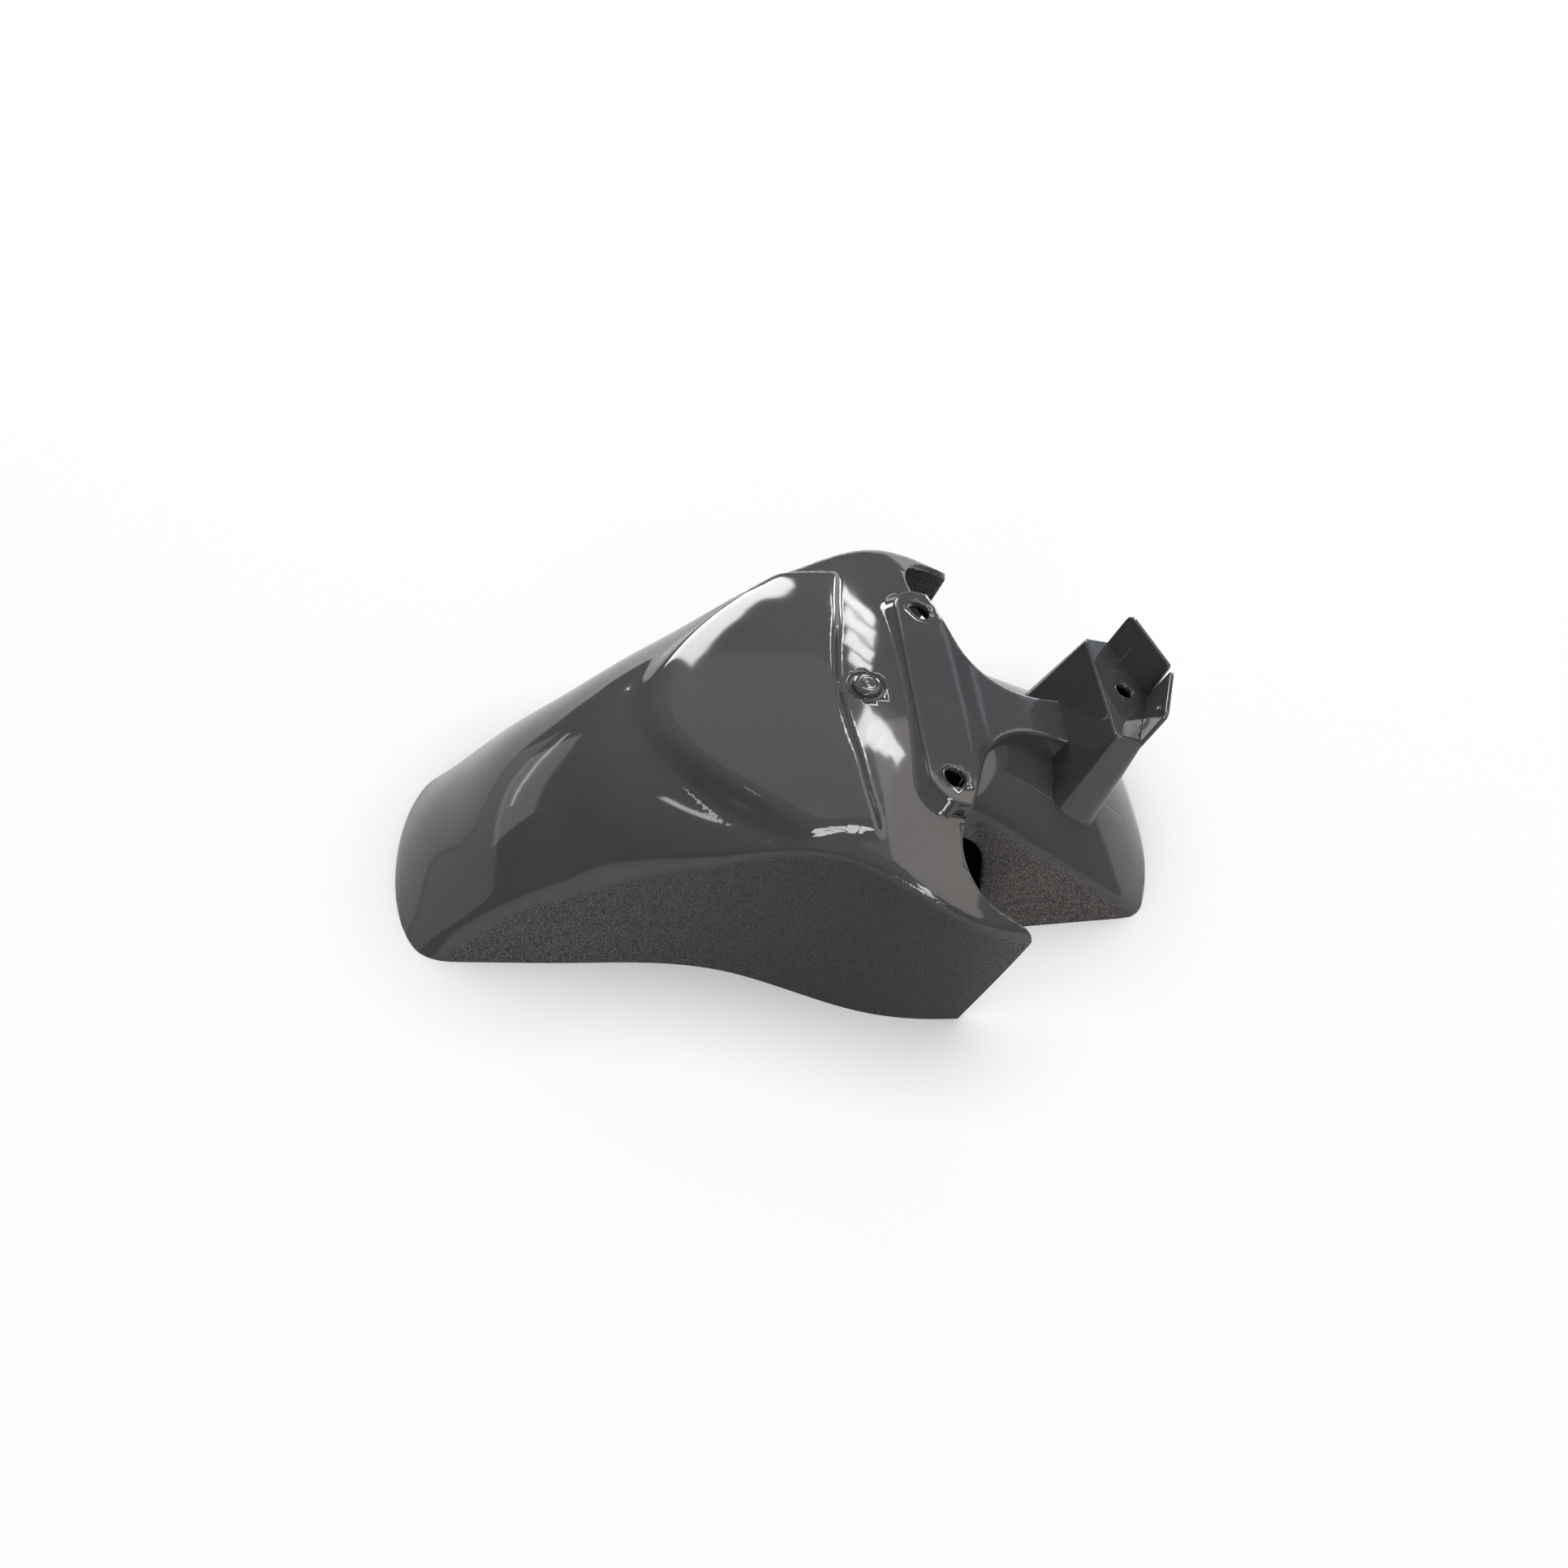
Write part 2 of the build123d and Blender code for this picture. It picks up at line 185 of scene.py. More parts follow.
def hoodShare(x, y):
    # 1 on the raised panel, 0 outside it, with a soft front and a sharper side and rear
    bow = (y * y + hoodSizes["round"] ** 2) ** (hoodSizes["power"] / 2)
    front = hoodSizes["apex"] + hoodSizes["spread"] * (bow - hoodSizes["round"] ** hoodSizes["power"])
    sharper = softStep((x - hoodSizes["edgeFrom"]) / hoodSizes["edgeRun"])
    sideSoft = hoodSizes["sideSoft"] + (hoodSizes["edgeSoft"] - hoodSizes["sideSoft"]) * sharper
    return (softStep((x - front + hoodSizes["frontLead"]) / hoodSizes["frontSoft"])
            * softStep((hoodSizes["half"] - np.abs(y)) / sideSoft + 0.5)
            * softStep((hoodRear(np.abs(y)) - x) / hoodSizes["rearSoft"] + 0.5))


def wingSide(x, y, z):
    # how far a point lies inside the wings' slanted sides
    low, high = floorHalf(x), browHalf(x)
    return low + (high - low) * z / archSizes["browHeight"] - np.abs(y)


def tailWalls(x, y, z):
    # the same for the rear arch's sides and its end
    side = tailSizes["half"] - tailSizes["lean"] * z - np.abs(y)
    return side, tailSizes["end"] - tailSizes["lean"] * z - x


def frontDepth(angle, y, r):
    # how far a point lies inside the front arch, wings and hood
    degrees = np.degrees(angle)
    x, _, z = sectionPoint(angle, y, r)
    crown = crownAt(archRadius(degrees), archBend(degrees), y)
    crown = crown + hoodShare(x, y) * np.maximum(hoodTop(x, y) - crown, 0)
    nose = x - archSizes["nose"] - archSizes["noseLean"] * z - archSizes["noseBow"] * y * y
    side = softMin(wingSide(x, y, z), nose, archSizes["noseCorner"])
    spread = softStep((x - archSizes["creaseStart"]) / (archSizes["creaseEnd"] - archSizes["creaseStart"]))
    crease = archSizes["creaseTail"] + (archSizes["creaseNose"] - archSizes["creaseTail"]) * spread
    return softMin(side, crown - r, crease)


def tailDepth(angle, y, r):
    degrees = np.degrees(angle)
    x, _, z = sectionPoint(angle, y, r)
    crown = crownAt(tailRadius(degrees), tailBend(degrees), y) - r
    side, end = tailWalls(x, y, z)
    return softMin(softMin(side, end, tailSizes["corner"]), crown, tailSizes["crease"])


def toSection(x, z):
    dx, dz = x - axle[0], z - axle[1]
    return np.arctan2(dx, dz), np.hypot(dx, dz)


def padPlace(x, z):
    # along the pad and above it, seen from the side
    tilt = radians(padSizes["tilt"])
    dx, dz = x - padSizes["origin"][0], z - padSizes["origin"][2]
    return dx * cos(tilt) - dz * sin(tilt), dx * sin(tilt) + dz * cos(tilt)


def archGrid(depthAt, angles, root, half, lowest):
    # rows of a moulded arch: each is a line round one section plane, evenly spaced
    turns = np.radians(np.linspace(-150, 150, 361))
    points = []
    for degrees in angles:
        angle = radians(degrees)
        near, far = np.zeros(len(turns)), np.full(len(turns), 300.0)
        for _ in range(30):
            middle = (near + far) / 2
            inside = depthAt(angle, middle * np.sin(turns), root + middle * np.cos(turns)) > 0
            near, far = np.where(inside, middle, near), np.where(inside, far, middle)
        y, r = near * np.sin(turns), root + near * np.cos(turns)
        x, _, z = sectionPoint(angle, y, r)
        line = np.stack([x, y, z], 1)
        centre = len(turns) // 2
        row = []
        for step in (-1, 1):
            part = line[centre::step]
            run = np.concatenate([[0], np.cumsum(np.linalg.norm(np.diff(part, axis=0), axis=1))])
            below = np.nonzero(part[:, 2] < lowest)[0]
            if len(below):
                length = run[below[0]] if below[0] > 0 else 2.0
            else:
                length = run[-1]
            places = np.linspace(0, length, half + 1)
            row.append(np.stack([np.interp(places, run, part[:, k]) for k in range(3)], 1))
        points.append(np.concatenate([row[0][:0:-1], row[1]]))
    columns = 2 * half + 1
    faces = []
    for i in range(len(angles) - 1):
        for j in range(columns - 1):
            a = i * columns + j
            faces.append((a, a + columns, a + columns + 1, a + 1))
    return np.concatenate(points), faces


def clipped(points, faces, values):
    # what a mesh keeps where the values are above zero, cut along their zero line
    points = [tuple(p) for p in points]
    cuts = {}
    kept = []

    def cutAt(a, b):
        key = (min(a, b), max(a, b))
        if key not in cuts:
            t = values[key[0]] / (values[key[0]] - values[key[1]])
            cuts[key] = len(points)
            points.append(tuple(p + t * (q - p) for p, q in zip(points[key[0]], points[key[1]])))
        return cuts[key]

    for face in faces:
        inside = [values[i] >= 0 for i in face]
        if all(inside):
            kept.append(tuple(face))
        elif any(inside):
            ring = []
            for k in range(len(face)):
                a, b = face[k], face[(k + 1) % len(face)]
                if inside[k]:
                    ring.append(a)
                if inside[k] != inside[(k + 1) % len(face)]:
                    ring.append(cutAt(a, b))
            if len(ring) > 2:
                kept.append(tuple(ring))
    used = sorted({i for face in kept for i in face})
    place = {old: new for new, old in enumerate(used)}
    return np.array([points[i] for i in used]), [tuple(place[i] for i in face) for face in kept]


def meshObject(name, points, faces, merge=0.12):
    mesh = bpy.data.meshes.new(name)
    mesh.from_pydata([tuple(p) for p in np.asarray(points) * 0.001], [], faces)
    work = bmesh.new()
    work.from_mesh(mesh)
    bmesh.ops.remove_doubles(work, verts=work.verts, dist=merge * 0.001)
    bmesh.ops.dissolve_degenerate(work, edges=work.edges, dist=0.00001)
    loose = [v for v in work.verts if not v.link_faces]
    bmesh.ops.delete(work, geom=loose, context="VERTS")
    for face in work.faces:
        face.smooth = True
    work.to_mesh(mesh)
    work.free()
    made = bpy.data.objects.new(name, mesh)
    bpy.context.scene.collection.objects.link(made)
    return made


def applied(made):
    # the object's mesh with its modifiers worked in
    bpy.context.view_layer.update()
    graph = bpy.context.evaluated_depsgraph_get()
    mesh = bpy.data.meshes.new_from_object(made.evaluated_get(graph))
    made.modifiers.clear()
    made.data = mesh
    return made


def thicken(made, thickness=wallThickness):
    # gives an outer skin the moulding's wall, inwards, and lets its rims shine
    solid = made.modifiers.new("wall", "SOLIDIFY")
    solid.thickness = thickness * 0.001
    solid.offset = -1
    solid.use_rim = True
    solid.material_offset = 1
    solid.material_offset_rim = 0
    return applied(made)


def bayRim():
    return curvePoints(padSizes["bayEdge"], 10)


def bayRegion():
    # the open space of one bay, from its edge out past the arch
    rim = bayRim()
    along, across = padSizes["bayReach"]
    return np.concatenate([rim, [(rim[-1][0], across), (along, across), (along, rim[0][1])]])


def resampled(outline, spacing):
    # a closed outline with points about evenly apart, its sharp corners kept
    outline = np.asarray(outline, float)
    count = len(outline)
    corners = []
    for i in range(count):
        a = outline[i] - outline[i - 1]
        b = outline[(i + 1) % count] - outline[i]
        turn = np.dot(a, b) / (np.linalg.norm(a) * np.linalg.norm(b) + 1e-12)
        if acos(max(-1, min(1, turn))) > radians(20):
            corners.append(i)
    corners = corners or [0]
    made = []
    for k, start in enumerate(corners):
        stop = corners[(k + 1) % len(corners)]
        stop = stop if stop > start else stop + count
        part = np.array([outline[i % count] for i in range(start, stop + 1)])
        run = np.concatenate([[0], np.cumsum(np.linalg.norm(np.diff(part, axis=0), axis=1))])
        pieces = max(1, int(round(run[-1] / spacing)))
        places = np.linspace(0, run[-1], pieces + 1)[:-1]
        made.append(np.stack([np.interp(places, run, part[:, 0]), np.interp(places, run, part[:, 1])], 1))
    return np.concatenate(made)


def outwardNormals(outline):
    before = outline - np.roll(outline, 1, 0)
    after = np.roll(outline, -1, 0) - outline
    before /= np.linalg.norm(before, axis=1)[:, None] + 1e-12
    after /= np.linalg.norm(after, axis=1)[:, None] + 1e-12
    along = before + after
    scale = np.maximum(np.linalg.norm(along, axis=1), 0.8)
    along /= scale[:, None] * scale[:, None] / 2
    return np.stack([along[:, 1], -along[:, 0]], 1)


def roundedPolygon(corners, radius, steps=6):
    # corners counter-clockwise, each rounded to the radius
    made = []
    count = len(corners)
    for i in range(count):
        p = np.array(corners[i], float)
        a = np.array(corners[i - 1], float) - p
        b = np.array(corners[(i + 1) % count], float) - p
        a /= np.linalg.norm(a)
        b /= np.linalg.norm(b)
        half = acos(float(np.dot(a, b))) / 2
        size = radius[i] if isinstance(radius, (list, tuple)) else radius
        if size <= 0:
            made.append(p)
            continue
        start, stop = p + a * size / tan(half), p + b * size / tan(half)
        centre = p + (a + b) / np.linalg.norm(a + b) * size / sin(half)
        for k in range(steps + 1):
            t = k / steps
            way = (start - centre) * (1 - t) + (stop - centre) * t
            made.append(centre + way / np.linalg.norm(way) * size)
    return np.array(made)


def circle(x, y, radius, count=48):
    turns = np.linspace(0, 2 * pi, count, endpoint=False)
    return np.stack([x + radius * np.cos(turns), y + radius * np.sin(turns)], 1)


def filledTop(rim, holes, spacing):
    # triangles inside a rim and outside its holes, with inner points so that it can bend
    low, high = rim.min(0), rim.max(0)
    grid = np.stack(np.meshgrid(np.arange(low[0], high[0], spacing),
                                np.arange(low[1], high[1], spacing)), -1).reshape(-1, 2)
    keep = distanceTo(rim, grid[:, 0], grid[:, 1]) > spacing * 0.55
    for hole in holes:
        keep &= distanceTo(hole, grid[:, 0], grid[:, 1]) < -spacing * 0.45
    grid = grid[keep]
    points = np.concatenate([rim] + list(holes) + [grid])
    edges = []
    start = 0
    for ring in [rim] + list(holes):
        edges += [(start + i, start + (i + 1) % len(ring)) for i in range(len(ring))]
        start += len(ring)
    flat, _, triangles, _, _, _ = delaunay_2d_cdt([Vector(p) for p in points], edges, [], 0, 1e-6)
    flat = np.array([tuple(p) for p in flat])
    kept = []
    for triangle in triangles:
        middle = flat[list(triangle)].mean(0)
        if distanceTo(rim, middle[0], middle[1]) < 0:
            continue
        if any(distanceTo(hole, middle[0], middle[1]) > 0 for hole in holes):
            continue
        kept.append(tuple(triangle))
    return flat, kept


def planeAxes(tilt, origin):
    lean = radians(tilt)
    return (np.array(origin, float), np.array([cos(lean), 0, -sin(lean)]), np.array([0, 1.0, 0]),
            np.array([sin(lean), 0, cos(lean)]))


def raisedBlock(name, rim, holes, axes, edge, slopeAt, bottomAt, heightAt, flareAt, levels=12,
                spacing=3.0):
    # a block on a tilted plane: a top that can bend, a rounded edge, walls with their own slope
    # and a foot that flares out into the arch
    origin, along, across, up = axes
    outward = outwardNormals(rim)
    slopes = np.array([slopeAt(p) for p in rim])
    rings = []
    for k in range(5):
        turn = radians(90 * k / 4)
        rings.append((edge * (1 - sin(turn)), edge * (1 - cos(turn))))
    top = rim - outward * rings[0][0]
    flat, triangles = filledTop(top, holes, spacing)
    heights = heightAt(flat[:, 0], flat[:, 1])
    points = [origin + along * u + across * v + up * w for (u, v), w in zip(flat, heights)]
    faces = list(triangles)
    rimHeight = heightAt(rim[:, 0], rim[:, 1])
    bottoms = np.array([bottomAt(p, o, s, h) for p, o, s, h in zip(rim, outward, slopes, rimHeight)])
    lastRing = list(range(len(rim)))
    layers = [("edge", inset, drop) for inset, drop in rings[1:]]
    layers += [("wall", 0, k / levels) for k in range(1, levels + 1)]
    for kind, inset, amount in layers:
        start = len(points)
        for i, p in enumerate(rim):
            if kind == "edge":
                spot, drop = p - outward[i] * inset, amount
            else:
                fall = (bottoms[i] - edge) * amount
                flare = flareAt(p)
                share = min(0.75, flare / max(bottoms[i] - edge, 0.1))
                late = max(0, amount - 1 + share) / max(share, 0.001)
                reach = slopes[i] * fall + flare * (1 - sqrt(max(0, 1 - late * late)))
                spot, drop = p + outward[i] * reach, edge + fall
            points.append(origin + along * spot[0] + across * spot[1] + up * (rimHeight[i] - drop))
        ring = list(range(start, start + len(rim)))
        for i in range(len(rim)):
            j = (i + 1) % len(rim)
            faces.append((lastRing[i], ring[i], ring[j], lastRing[j]))
        lastRing = ring
    return meshObject(name, np.array(points), faces, 0.02)


# The front arch: wings, hood and skirts
def frontArch():
    # the rows lie closest at the hood's rear step
    angles = np.concatenate([np.arange(-65, -50, 0.5), np.arange(-50, 7.6, 0.75),
                             np.arange(7.6, 12.6, 0.25), np.arange(12.6, 40, 0.8)])
    points, faces = archGrid(frontDepth, angles, root=172, half=72, lowest=-10)
    points, faces = clipped(points, faces, points[:, 2])

    # the wings' slanted rear edges, then the bays, then the space under the pad
    run, rise = archSizes["wingRun"], archSizes["wingRise"]
    rear = ((archSizes["wingRear"] - points[:, 0]) * rise + run * points[:, 2]) / hypot(run, rise)
    points, faces = clipped(points, faces, rear)
    u, w = padPlace(points[:, 0], points[:, 2])
    near = distanceTo(bayRegion(), u, np.abs(points[:, 1]))
    depth = padSizes["bayDepth"] + w
    points, faces = clipped(points, faces, -softMin(near, depth, padSizes["bayFoot"]))
    u, _ = padPlace(points[:, 0], points[:, 2])
    rim = padOutline()
    grown = rim + outwardNormals(rim) * padSizes["gap"]
    points, faces = clipped(points, faces, -distanceTo(grown, u, points[:, 1]))

    # the ring round the boss, on the crown alone
    centre, along, _, _ = bossAxes()
    away = np.hypot((points - centre) @ along, points[:, 1]) - bossSizes["ring"]
    points, faces = clipped(points, faces, np.where(points[:, 2] > bossSizes["lowest"], away, 50))
    return thicken(meshObject("frontArch", points, faces))


def padOutline():
    # the pad's rounded front, then the bay edges and the neck, counter-clockwise from above
    half, front = padSizes["half"], padSizes["front"]
    rim = bayRim()
    turns = np.linspace(0, pi / 2, 9)
    corner = padSizes["corner"]
    edge = [p for p in rim if p[1] <= half]
    cross = next(k for k in range(len(rim)) if rim[k][1] > half)
    t = (half - rim[cross - 1][1]) / (rim[cross][1] - rim[cross - 1][1])
    meet = rim[cross - 1] + (rim[cross] - rim[cross - 1]) * t
    side = [(padSizes["neckEnd"], rim[0][1])] + [tuple(p) for p in edge] + [tuple(meet)]
    side += [(front + corner - corner * sin(a), half - corner + corner * cos(a)) for a in turns]
    low = [(u, -v) for u, v in side]
    return resampled(side + low[::-1], 1.5)


def mountBlock():
    axes = planeAxes(padSizes["tilt"], padSizes["origin"])
    rim = padOutline()
    origin, along, across, up = axes

    def frontShare(p):
        # 1 along the pad's front, 0 along the bays and the neck
        return softStep((padSizes["frontEnd"] - p[0]) / padSizes["frontBlend"])

    def slopeAt(p):
        # the pad's front falls away as a band, its bay walls stand square
        return padSizes["frontSlope"] * frontShare(p)

    def heightAt(u, v):
        return -padSizes["neckDrop"] * softStep((u - padSizes["stepStart"])
                                                / (padSizes["stepEnd"] - padSizes["stepStart"]))

    def bottomAt(p, outward, slope, top):
        neck = abs(p[1]) < padSizes["neckHalf"] and p[0] > padSizes["neckStart"]
        depthAt = tailDepth if neck else frontDepth
        limit = padSizes["neckLimit"] if neck else padSizes["frontLimit"]
        sink = padSizes["frontSink"] if slope > 0.3 else padSizes["sink"]
        drop = 0.0
        while drop < limit:
            spot = p + outward * slope * drop
            place = origin + along * spot[0] + across * spot[1] + up * (top - drop)
            angle, r = toSection(place[0], place[2])
            if depthAt(angle, place[1], r) > sink:
                return max(drop, padSizes["edge"] + 0.5)
            drop += 0.1
        return drop

    def flareAt(p):
        return padSizes["footFlare"] * frontShare(p)

    holes = [circle(0, side * padSizes["boltHalf"], padSizes["boltRadius"]) for side in (1, -1)]
    made = raisedBlock("mount", rim, holes, axes, padSizes["edge"], slopeAt, bottomAt, heightAt,
                       flareAt)
    return thicken(made)


def riserBlock():
    sizes = riserSizes
    axes = planeAxes(padSizes["tilt"], sizes["origin"])
    origin, along, across, up = axes
    corners = [(sizes["front"], -sizes["frontHalf"]), (sizes["rear"], -sizes["half"]),
               (sizes["apex"], 0), (sizes["rear"], sizes["half"]), (sizes["front"], sizes["frontHalf"])]
    rim = resampled(roundedPolygon(corners, sizes["corner"]), 1.4)
    draft = tan(radians(sizes["draft"]))

    def bottomAt(p, outward, slope, top):
        drop = 0.0
        while drop < 60:
            spot = p + outward * slope * drop
            place = origin + along * spot[0] + across * spot[1] - up * drop
            angle, r = toSection(place[0], place[2])
            if tailDepth(angle, place[1], r) > sizes["sink"]:
                return drop
            drop += 0.25
        return drop

    made = raisedBlock("riser", rim, [circle(0, 0, sizes["hole"], 36)], axes, sizes["edge"],
                       lambda p: draft, bottomAt, lambda u, v: np.zeros(np.shape(u)), lambda p: 0.0,
                       spacing=2.5)
    return thicken(made)


def slab(rim, axes, thickness, edge):
    # a thin plate with rounded edges on both sides, its outer face on the plane
    origin, along, across, up = axes
    outward = outwardNormals(rim)
    rings = [(edge * (1 - sin(radians(a))), edge * (1 - cos(radians(a)))) for a in (0, 30, 60, 90)]
    layers = rings + [(inset, thickness - drop) for inset, drop in rings[::-1]]
    points, faces = [], []
    count = len(rim)
    for inset, drop in layers:
        points += [origin + along * p[0] + across * p[1] - up * drop for p in rim - outward * inset]
    for k in range(len(layers) - 1):
        for i in range(count):
            j = (i + 1) % count
            faces.append((k * count + i, (k + 1) * count + i, (k + 1) * count + j, k * count + j))
    faces.append(tuple(range(count)))
    faces.append(tuple(range(len(points) - 1, len(points) - count - 1, -1)))
    return np.array(points), faces


def platePair():
    # the two plates that stand on the riser's rear edges, with a tapered slit between them
    sizes = riserSizes
    base, along, across, up = planeAxes(padSizes["tilt"], sizes["origin"])
    apex = np.array([sizes["apex"], 0.0])
    run = np.array([sizes["rear"], sizes["half"]]) - apex
    length = np.linalg.norm(run)
    run /= length
    lean = abs(run[1])
    height, foot = sizes["plateHeight"], -sizes["plateFoot"]
    corners = [(sizes["slitFoot"] / 2 / lean, foot), (length, foot), (length, height),
               (sizes["slitTop"] / 2 / lean, height)]
    rim = resampled(roundedPolygon(corners, sizes["plateCorners"]), 2.0)
    way = along * run[0] + across * run[1]
    axes = (base + along * apex[0], way, up, np.cross(way, up))
    points, faces = slab(rim, axes, sizes["plateThickness"], sizes["plateEdge"])
    mirrored = points * np.array([1, -1, 1])
    return [meshObject("plate", points, faces, 0.01),
            meshObject("plateMirrored", mirrored, [face[::-1] for face in faces], 0.01)]


# The rear arch behind the bays
def tailArch():
    points, faces = archGrid(tailDepth, np.arange(14, 66, 0.8), root=180, half=52, lowest=-10)
    points, faces = clipped(points, faces, points[:, 2])

    # its lower front is cut away, with a rounded corner
    ahead, below = tailSizes["bayEdge"] - points[:, 0], tailSizes["bayTop"] - points[:, 2]
    corner = tailSizes["bayCorner"]
    rounded = corner - np.hypot(corner - ahead, corner - below)
    cut = np.where((ahead < corner) & (below < corner), rounded, np.minimum(ahead, below))
    points, faces = clipped(points, faces, -cut)

    # it starts behind the pad, where the bay walls reach down to it
    u, _ = padPlace(points[:, 0], points[:, 2])
    points, faces = clipped(points, faces, u - tailSizes["start"])
    u, _ = padPlace(points[:, 0], points[:, 2])
    rim = padOutline()
    inner = rim - outwardNormals(rim) * tailSizes["tuck"]
    points, faces = clipped(points, faces, -distanceTo(inner, u, points[:, 1]))
    return thicken(meshObject("tailArch", points, faces))


def bossAxes():
    # the boss's centre on the arch, and the directions round the axis that stands there
    centre = sectionPoint(radians(bossSizes["angle"]), 0.0, bossSizes["distance"])
    return planeAxes(bossSizes["angle"], centre)


# The blind boss in its ring, turned round its axis
def bossHead(count=56):
    line = bossSizes["profile"] + bossSizes["under"]
    centre, along, across, up = bossAxes()
    points, faces = [], []
    for r, h in line:
        for k in range(count):
            turn = 2 * pi * k / count
            points.append(centre + along * r * cos(turn) + across * r * sin(turn) + up * h)
    for i in range(len(line)):
        n = (i + 1) % len(line)
        for k in range(count):
            j = (k + 1) % count
            faces.append((i * count + k, i * count + j, n * count + j, n * count + k))
    return meshObject("boss", np.array(points), faces, 0.02)


# Node trees and their maths
def newGroup(name, inputs, outputs, kind="ShaderNodeTree"):
    group = bpy.data.node_groups.new(name, kind)
    for label, socketType, value in inputs:
        socket = group.interface.new_socket(label, in_out="INPUT", socket_type=socketType)
        if value is not None:
            socket.default_value = value
    for label, socketType in outputs:
        group.interface.new_socket(label, in_out="OUTPUT", socket_type=socketType)
    return group, group.nodes.new("NodeGroupInput"), group.nodes.new("NodeGroupOutput")


def mathNode(tree, operation, first, second=None, third=None, clamp=False):
    node = tree.nodes.new("ShaderNodeMath")
    node.operation = operation
    node.use_clamp = clamp
    for i, value in enumerate((first, second, third)):
        if value is None:
            continue
        if isinstance(value, (int, float)):
            node.inputs[i].default_value = value
        else:
            tree.links.new(value, node.inputs[i])
    return node.outputs[0]


def rampNode(tree, value, low, high):
    node = tree.nodes.new("ShaderNodeMapRange")
    node.interpolation_type = "SMOOTHSTEP"
    tree.links.new(value, node.inputs["Value"])
    node.inputs["From Min"].default_value = low
    node.inputs["From Max"].default_value = high
    return node.outputs["Result"]


def noiseNode(tree, vector, scale, detail, rough=0.5, lean=0.0):
    node = tree.nodes.new("ShaderNodeTexNoise")
    tree.links.new(vector, node.inputs["Vector"])
    node.inputs["Scale"].default_value = scale
    node.inputs["Detail"].default_value = detail
    node.inputs["Roughness"].default_value = rough
    node.inputs["Distortion"].default_value = lean
    return node.outputs["Fac"]


# The lips of the bolt holes: one tree sets them out in a row, with each lip's size
lipSizes = {"radius": 0.45, "outset": 0.35, "sink": 0.22}


def makeLipTree():
    tree, given, result = newGroup("holeLips",
                                   [("Count", "NodeSocketInt", 1), ("Pitch", "NodeSocketFloat", 0.1),
                                    ("Radius", "NodeSocketFloat", 0.005),
                                    ("Lip", "NodeSocketFloat", 0.0005),
                                    ("Material", "NodeSocketMaterial", None)],
                                   [("Geometry", "NodeSocketGeometry")], "GeometryNodeTree")
    nodes, links = tree.nodes, tree.links
    less = mathNode(tree, "SUBTRACT", given.outputs["Count"], 1)
    first = mathNode(tree, "MULTIPLY", mathNode(tree, "MULTIPLY", given.outputs["Pitch"], -0.5), less)
    places = []
    for value in (first, given.outputs["Pitch"]):
        vector = nodes.new("ShaderNodeCombineXYZ")
        links.new(value, vector.inputs["Y"])
        places.append(vector.outputs[0])
    row = nodes.new("GeometryNodeMeshLine")
    row.mode = "OFFSET"
    links.new(given.outputs["Count"], row.inputs["Count"])
    links.new(places[0], row.inputs["Start Location"])
    links.new(places[1], row.inputs["Offset"])
    ring = nodes.new("GeometryNodeCurvePrimitiveCircle")
    ring.inputs["Resolution"].default_value = 56
    links.new(given.outputs["Radius"], ring.inputs["Radius"])
    section = nodes.new("GeometryNodeCurvePrimitiveCircle")
    section.inputs["Resolution"].default_value = 10
    links.new(given.outputs["Lip"], section.inputs["Radius"])
    sweep = nodes.new("GeometryNodeCurveToMesh")
    links.new(ring.outputs["Curve"], sweep.inputs["Curve"])
    links.new(section.outputs["Curve"], sweep.inputs["Profile Curve"])
    copies = nodes.new("GeometryNodeInstanceOnPoints")
    links.new(row.outputs["Mesh"], copies.inputs["Points"])
    links.new(sweep.outputs["Mesh"], copies.inputs["Instance"])
    real = nodes.new("GeometryNodeRealizeInstances")
    links.new(copies.outputs["Instances"], real.inputs["Geometry"])
    finish = nodes.new("GeometryNodeSetMaterial")
    links.new(real.outputs["Geometry"], finish.inputs["Geometry"])
    links.new(given.outputs["Material"], finish.inputs["Material"])
    links.new(finish.outputs["Geometry"], result.inputs["Geometry"])
    return tree


def holeLips(name, tree, origin, count, pitch, hole, material):
    # a row of lips across the pad's tilt, each round a hole
    holder = bpy.data.objects.new(name, bpy.data.meshes.new(name))
    bpy.context.scene.collection.objects.link(holder)
    nodes = holder.modifiers.new("lips", "NODES")
    nodes.node_group = tree
    values = {"Count": count, "Pitch": pitch * 0.001, "Radius": (hole + lipSizes["outset"]) * 0.001,
              "Lip": lipSizes["radius"] * 0.001, "Material": material}
    for item in tree.interface.items_tree:
        if item.in_out == "INPUT" and item.name in values:
            nodes[item.identifier] = values[item.name]
    applied(holder)
    origin, along, across, up = planeAxes(padSizes["tilt"], origin)
    turned = Matrix((along, across, up)).transposed().to_4x4()
    place = Vector((origin - up * lipSizes["sink"]) * 0.001)
    holder.data.transform(Matrix.Translation(place) @ turned)
    for face in holder.data.polygons:
        face.use_smooth = True
    return holder


def grainAt(points):
    # 1 on the grained skirts, 0 on the glossy crown, for every point of the finished shell
    x, y, z = points[:, 0], points[:, 1], points[:, 2]
    angle, r = toSection(x, z)
    degrees = np.degrees(angle)
    front = crownAt(archRadius(degrees), archBend(degrees), y) - r
    rear = crownAt(tailRadius(degrees), tailBend(degrees), y) - r
    onWing = softStep(front / 4 - 0.4) * softStep((x + 186 - 0.5 * z) / 16)
    onWing = onWing * (np.abs(wingSide(x, y, z)) < 3.5) * (x < 115)
    side, end = tailWalls(x, y, z)
    onTail = softStep(rear / 6) * ((np.abs(side) < 4) | (np.abs(end) < 6)) * (x > 98)
    return np.clip(np.maximum(onWing, onTail), 0, 1)


